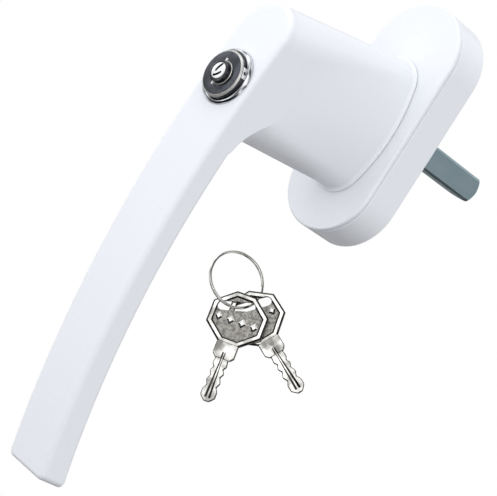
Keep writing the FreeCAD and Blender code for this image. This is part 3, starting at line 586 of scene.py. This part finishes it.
def bevelled(mesh, width, segments):
    """The mesh with its sharp edges rounded, or chamfered by a single segment."""
    holder = linked("work", mesh)
    bevel = holder.modifiers.new("bevel", "BEVEL")
    bevel.width = width
    bevel.segments = segments
    bevel.limit_method = "ANGLE"
    bevel.angle_limit = BEVEL_ANGLE
    return applied(holder)


def stroke(name, path, width, low, high):
    """A prism that follows a bent line, with round ends."""
    left, right = [], []
    smooth = bend(path)
    for i, point in enumerate(smooth):
        ahead = smooth[min(i + 1, len(smooth) - 1)] - smooth[max(i - 1, 0)]
        aside = Vector((-ahead.y, ahead.x)).normalized() * width / 2
        left.append(point + aside)
        right.append(point - aside)
    far_end = round_end(smooth[-1], left[-1] - smooth[-1])
    near_end = round_end(smooth[0], right[0] - smooth[0])
    outline = left + far_end + right[::-1] + near_end
    return prism(name, [(p.x, p.y) for p in outline], low, high)


def round_end(middle, reach):
    """The points of a half circle about a line's end, clockwise from `reach`."""
    turned = []
    for step in range(1, HALF_CIRCLE_STEPS):
        angle = -math.pi * step / HALF_CIRCLE_STEPS
        across = Vector((reach.x * math.cos(angle) - reach.y * math.sin(angle),
                         reach.x * math.sin(angle) + reach.y * math.cos(angle)))
        turned.append(middle + across)
    return turned


def bend(path):
    """Points along the parabola from the first of three points to the last, through the second."""
    start, through, end = (Vector(p) for p in path)
    control = through * 2 - (start + end) / 2
    points = []
    for i in range(BEND_STEPS + 1):
        t = i / BEND_STEPS
        points.append(start * (1 - t) ** 2 + control * 2 * t * (1 - t) + end * t ** 2)
    return points


# ---- the lock's front ---------------------------------------------------------------------------

def add_escutcheon(materials):
    mesh = lathe("escutcheon", RING_PROFILE)
    mesh.materials.append(materials["chrome_trim"])
    finish_mesh(scaled_to_metres(mesh))
    new_piece("escutcheon", mesh, "handle", ["lock_escutcheon"])


def add_barrel(materials):
    """The barrel, black, with two small bright blocks beside its plug: where the barrel shows, its
    black is painted dark reflection beside the escutcheon and painted shade round the plug.
    """
    mesh = lathe("barrel", BARREL_PROFILE)
    mesh.materials.append(materials["black_barrel"])
    finish_mesh(scaled_to_metres(mesh))
    new_piece("barrel_front", mesh, "lock", ["lock_barrel"])
    # two small bright blocks, painted highlights, above and below the plug
    for name, side in (("highlight_block_top", 1), ("highlight_block_bottom", -1)):
        middle = (0, -HIGHLIGHT_BLOCK_MIDDLE_OUT, side * HIGHLIGHT_BLOCK_RADIUS - LOCK_DOWN)
        highlight_block = bevelled(box_mesh("highlight_block", middle, HIGHLIGHT_BLOCK_SIZE), HIGHLIGHT_BLOCK_EDGE, segments=2)
        highlight_block.materials.append(materials["plug_nickel"])
        finish_mesh(scaled_to_metres(highlight_block))
        new_piece(name, highlight_block, "lock", [])


def sector(name, radii, height, half_angle):
    """A curved block on the barrel's side, about the painted glint's middle."""
    inner, outer = radii
    sections = []
    for step in range(GLINT_STEPS + 1):
        angle = GLINT_ANGLE - half_angle + 2 * half_angle * step / GLINT_STEPS
        corners = []
        for radius, side in ((inner, -1), (outer, -1), (outer, 1), (inner, 1)):
            out = GLINT_MIDDLE_OUT + side * height / 2
            corners.append((radius * math.cos(angle), -out, radius * math.sin(angle) - LOCK_DOWN))
        sections.append(corners)
    return skin(name, sections)


def add_painted_glint(materials):
    """A bright patch in the barrel's side, a painted reflection, with a window in its middle where the
    black barrel shows as a painted dark spot.
    """
    glint = sector("glint", GLINT_RADII, GLINT_HEIGHT, GLINT_HALF_ANGLE)
    inner, outer = GLINT_RADII
    window = sector("window", (inner - CLEAR, outer + CLEAR), GLINT_GAP_HEIGHT,
                    GLINT_GAP_HALF_ANGLE)
    mesh = combine(glint, [window], "DIFFERENCE")
    mesh.materials.append(materials["plug_nickel"])
    finish_mesh(scaled_to_metres(mesh))
    new_piece("barrel_painted_glint", mesh, "lock", [])


def add_cap(materials):
    """The dark face, with a pale bevel round it: the bevel's pale colour is a painted reflection, in
    place of the bright light a chrome edge reflects.
    """
    mesh = scaled_to_metres(lathe("cap", CAP_PROFILE))

    def finish_of(middle, normal):
        return "bevel_painted_reflection" if normal.y > -CAP_FACE else "dark_chrome"
    paint(mesh, materials, ("dark_chrome", "bevel_painted_reflection"), finish_of)
    finish_mesh(mesh)
    new_piece("cap_disc", mesh, "lock", ["barrel_cap"])


def add_plug(materials):
    """The bright plug with its S-shaped keyway, whose walls deeper in are painted black as shade."""
    plug = lathe("plug", PLUG_PROFILE)
    front = PLUG_PROFILE[-1][1]
    cutters = []
    for path in KEYWAY_STROKES:
        points = [(x, z - LOCK_DOWN) for x, z in path]
        cutters.append(stroke("cut", points, KEYWAY_WIDTH, front - KEYWAY_DEPTH, front + CLEAR))
    mesh = scaled_to_metres(combine(plug, cutters, "DIFFERENCE"))
    # the keyway's walls between these depths are painted black as shade
    shade_front = -(front - KEYWAY_SHADE_FROM) * MM
    shade_back = -(front - KEYWAY_DEPTH - KEYWAY_SHADE_PAST) * MM

    def finish_of(middle, normal):
        return "keyway_painted_shade" if shade_front < middle.y < shade_back else "plug_nickel"
    paint(mesh, materials, ("plug_nickel", "keyway_painted_shade"), finish_of)
    finish_mesh(mesh)
    new_piece("plug_body", mesh, "plug", ["lock_plug"])


# ---- the keys -----------------------------------------------------------------------------------

def bow_points(inset=0.0):
    """The eight corners of the key's bow, or of the same outline this far inside it."""
    wide, tall = BOW_WIDTH / 2, BOW_HEIGHT / 2
    run, rise = wide - BOW_TOP_FLAT / 2, tall - BOW_SIDE_FLAT / 2
    total = rise * wide + run * BOW_SIDE_FLAT / 2 - inset * math.hypot(run, rise)
    wide, tall = wide - inset, tall - inset
    quarter = [(wide, (total - rise * wide) / run), ((total - run * tall) / rise, tall)]
    points = []
    for across, up in ((1, 1), (-1, 1), (-1, -1), (1, -1)):
        ordered = quarter if across * up > 0 else quarter[::-1]
        points += [(across * a, up * b) for a, b in ordered]
    return points


def mirrored(right):
    """A closed outline from its right-hand half, listed from the top down."""
    return right + [(-across, up) for across, up in reversed(right)]


def slot_points():
    """The outline of the slanting slot in the bow."""
    start, end = Vector(SLOT_ENDS[0]), Vector(SLOT_ENDS[1])
    along = (end - start).normalized()
    points = []
    for middle, heading in ((end, math.atan2(along.y, along.x)),
                            (start, math.atan2(-along.y, -along.x))):
        for step in range(SLOT_STEPS + 1):
            angle = heading - math.pi / 2 + math.pi * step / SLOT_STEPS
            points.append((middle.x + SLOT_RADIUS * math.cos(angle),
                           middle.y + SLOT_RADIUS * math.sin(angle)))
    return points


def groove_cutter(side):
    """A groove with sloping walls down one face of the blade, smaller at its top."""
    face = BLADE_THICKNESS / 2
    full = [(GROOVE_HALF_WIDTH + GROOVE_FLARE, CLEAR), (GROOVE_HALF_WIDTH, 0.0),
            (GROOVE_FLOOR, -GROOVE_DEPTH)]
    small = [(a * GROOVE_END_WIDTH, h * GROOVE_END_DEPTH + GROOVE_END_RISE) for a, h in full]
    sections = []
    for half, below in ((small, GROOVE_TOP), (full, GROOVE_BOTTOM)):
        sections.append([(a, -side * (face + h), -below) for a, h in mirrored(half)])
    return skin("groove", sections)


def stud(across, side):
    """A raised lozenge on the bow's panel."""
    face = PANEL_THICKNESS / 2
    sections = []
    for share, height in STUD_LEVELS:
        sections.append([(across + x * share * STUD_HALF, -side * (face + height),
                          STUD_UP + z * share * STUD_HALF) for x, z in STUD_OUTLINE])
    return skin("stud", sections)


def key_mesh():
    """One key: bow with a raised rim and a sunk panel, collar, and a grooved blade cut both sides."""
    thick, panel = KEY_THICKNESS / 2, PANEL_THICKNESS / 2
    bow_low = -BOW_HEIGHT / 2
    collar_low = bow_low - COLLAR_LENGTH
    bow = loft("bow", [(bow_points(BOW_EDGE), -thick), (bow_points(), BOW_EDGE - thick),
                       (bow_points(), thick - BOW_EDGE), (bow_points(BOW_EDGE), thick)])
    collar = prism("collar", mirrored([(COLLAR_HALF_WIDTH, bow_low + BOW_RIM / 2),
                                       (COLLAR_HALF_WIDTH, collar_low + COLLAR_CHAMFER),
                                       (COLLAR_HALF_WIDTH - COLLAR_CHAMFER, collar_low)]),
                   COLLAR_INSET - thick, thick - COLLAR_INSET)
    blade = prism("blade", mirrored([(half, -below) for below, half in BLADE_STEPS]),
                  -BLADE_THICKNESS / 2, BLADE_THICKNESS / 2)
    shaft = [bevelled(part, BLADE_EDGE, segments=1) for part in (collar, blade)]
    key = combine(bow, shaft, "UNION")
    cutters = [prism("slot", slot_points(), -thick - CLEAR, thick + CLEAR),
               groove_cutter(1), groove_cutter(-1)]
    floor, mouth = bow_points(BOW_RIM + PANEL_DRAFT), bow_points(BOW_RIM - PANEL_DRAFT)
    for side in (-1, 1):
        cutters.append(loft("sink", [(floor, side * panel), (mouth, side * (2 * thick - panel))]))
    return combine(key, cutters, "DIFFERENCE")


def key_finish(middle, normal):
    """The finish of a face of a key, with painted light: walls on the bow that face its middle, and
    all sloping faces, are painted near black as painted shade and painted dark reflection, and the
    groove's floor keeps the brighter key_polish as a painted highlight line.
    """
    facing = abs(normal.y)
    on_bow = middle.z > -BOW_HEIGHT / 2
    if facing > KEY_FLAT and on_bow:
        return "key_panel" if abs(middle.y) < PANEL_THICKNESS / 2 + PANEL_MARGIN else "key_rim"
    # the groove's floor, near the blade's middle, is left out here and gets the brighter key_polish: a
    # painted highlight line
    if facing > KEY_FLAT and middle.z < BLADE_TOP and abs(middle.x) > GROOVE_FLOOR:
        return "key_blade"
    # walls on the bow that face its middle, and sloping faces, get painted shade and painted dark
    # reflection
    in_a_recess = on_bow and normal.x * middle.x + normal.z * middle.z < 0
    slopes = KEY_SLOPES[0] < facing < KEY_SLOPES[1]
    return "key_painted_shade_and_reflection" if in_a_recess or slopes else "key_polish"


def stud_painted_light(middle, normal):
    """A lozenge is painted light on its top and upper sides, as a painted highlight, and painted shade
    on its lower sides.
    """
    return "key_painted_highlight" if abs(normal.y) > STUD_FLAT or normal.z > 0 else "key_painted_shade_and_reflection"


def upright_line(angle):
    """A direction in the X-Z plane."""
    return Vector((math.cos(angle), 0, math.sin(angle)))


def key_stand():
    """Takes the keys' and the ring's own places, about the ring's middle, to where they hang."""
    low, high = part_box("key_ring")
    ring_middle = (low + high) / 2 / MM
    tilt = Matrix.Rotation(-KEY_TILT, 4, upright_line(KEY_TILT_AXIS))
    return Matrix.Translation(ring_middle) @ Matrix.Rotation(KEY_TURN, 4, "Z") @ tilt


def add_keys(materials, stand):
    for name, ((across, up), lean, nearer, turned_over) in KEY_PLACES.items():
        mesh = key_mesh()
        paint(mesh, materials, KEY_FINISHES, key_finish)
        finish_mesh(mesh)
        place = Matrix.Translation((across, -nearer, up)) @ Matrix.Rotation(-lean, 4, "Y")
        if turned_over:
            place = place @ Matrix.Rotation(math.pi, 4, "Z")
        new_piece(name + "_cut", scaled_to_metres(mesh, stand @ place), name, [name])
        add_studs(materials, name, stand @ place)


def add_studs(materials, key, place):
    """The lozenges on both faces of a key."""
    for face, side in (("back", -1), ("front", 1)):
        for number, spot in enumerate(STUD_PLACES, start=1):
            lozenge = stud(spot, side)
            # each lozenge is painted light on top and above, and painted shade below
            paint(lozenge, materials, ("key_painted_highlight", "key_painted_shade_and_reflection"), stud_painted_light)
            finish_mesh(lozenge)
            label = f"{key}_stud_{face}_{number}"
            new_piece(label, scaled_to_metres(lozenge, place), key, [])


def ring_point(angle, radial, along):
    """A point of the ring's section, in the ring's own plane X-Z with its axis along -Y."""
    reach = RING_RADIUS + radial
    return Vector((reach * math.cos(angle), -along, reach * math.sin(angle)))


def turn_offset(angle):
    """How far the wire is from the ring's middle plane, at an angle from 0 to two turns."""
    from_crossing = angle - 2 * math.pi
    if abs(from_crossing) >= CROSSING:
        return math.copysign(TURN_OFFSET, from_crossing)
    return TURN_OFFSET * math.sin(from_crossing / CROSSING * math.pi / 2)


def wire_section(angle):
    """The outline of the flattened wire, at an angle from 0 to two turns."""
    offset = turn_offset(angle)
    places = []
    for k in range(WIRE_SIDES):
        round_wire = 2 * math.pi * k / WIRE_SIDES
        c, s = math.cos(round_wire), math.sin(round_wire)
        radial = WIRE_HALF[0] * math.copysign(abs(c) ** WIRE_ROUNDNESS, c)
        along = WIRE_HALF[1] * math.copysign(abs(s) ** WIRE_ROUNDNESS, s)
        places.append(ring_point(angle, radial, offset + along))
    return places


def add_ring(materials, stand):
    """A split ring: one flattened wire wound twice round, crossing over where its ends are."""
    start, stop = WIRE_END, 4 * math.pi - WIRE_END
    sections = []
    for step in range(2 * RING_STEPS + 1):
        sections.append(wire_section(start + (stop - start) * step / (2 * RING_STEPS)))
    mesh = skin("ring", sections)
    mesh.materials.append(materials["ring_nickel"])
    finish_mesh(mesh, WIRE_SHARP_ANGLE)
    lean = Matrix.Rotation(-RING_LEAN, 4, upright_line(RING_LEAN_AXIS))
    new_piece("split_ring", scaled_to_metres(mesh, stand @ lean), "key_ring", ["key_ring"])


# ---- the scene ----------------------------------------------------------------------------------

def paint_cad_nodes(materials):
    """Every CAD node gets the finish of its slot in the record; the keys' slot is the polished one."""
    slots = {part["node"]: part["material_slot"] for part in frame["record"]["subparts"]}
    for name, node in frame["nodes"].items():
        node.data.materials.clear()
        node.data.materials.append(materials.get(slots[name], materials["key_polish"]))


add_camera()
bpy.context.scene.view_settings.view_transform = "Standard"
add_world()
add_key_light()
finishes = {name: surface(name, **values) for name, values in FINISHES.items()}
add_floor(finishes)
paint_cad_nodes(finishes)
add_escutcheon(finishes)
add_cap(finishes)
add_barrel(finishes)
add_painted_glint(finishes)
add_plug(finishes)
keys_place = key_stand()
add_keys(finishes, keys_place)
add_ring(finishes, keys_place)
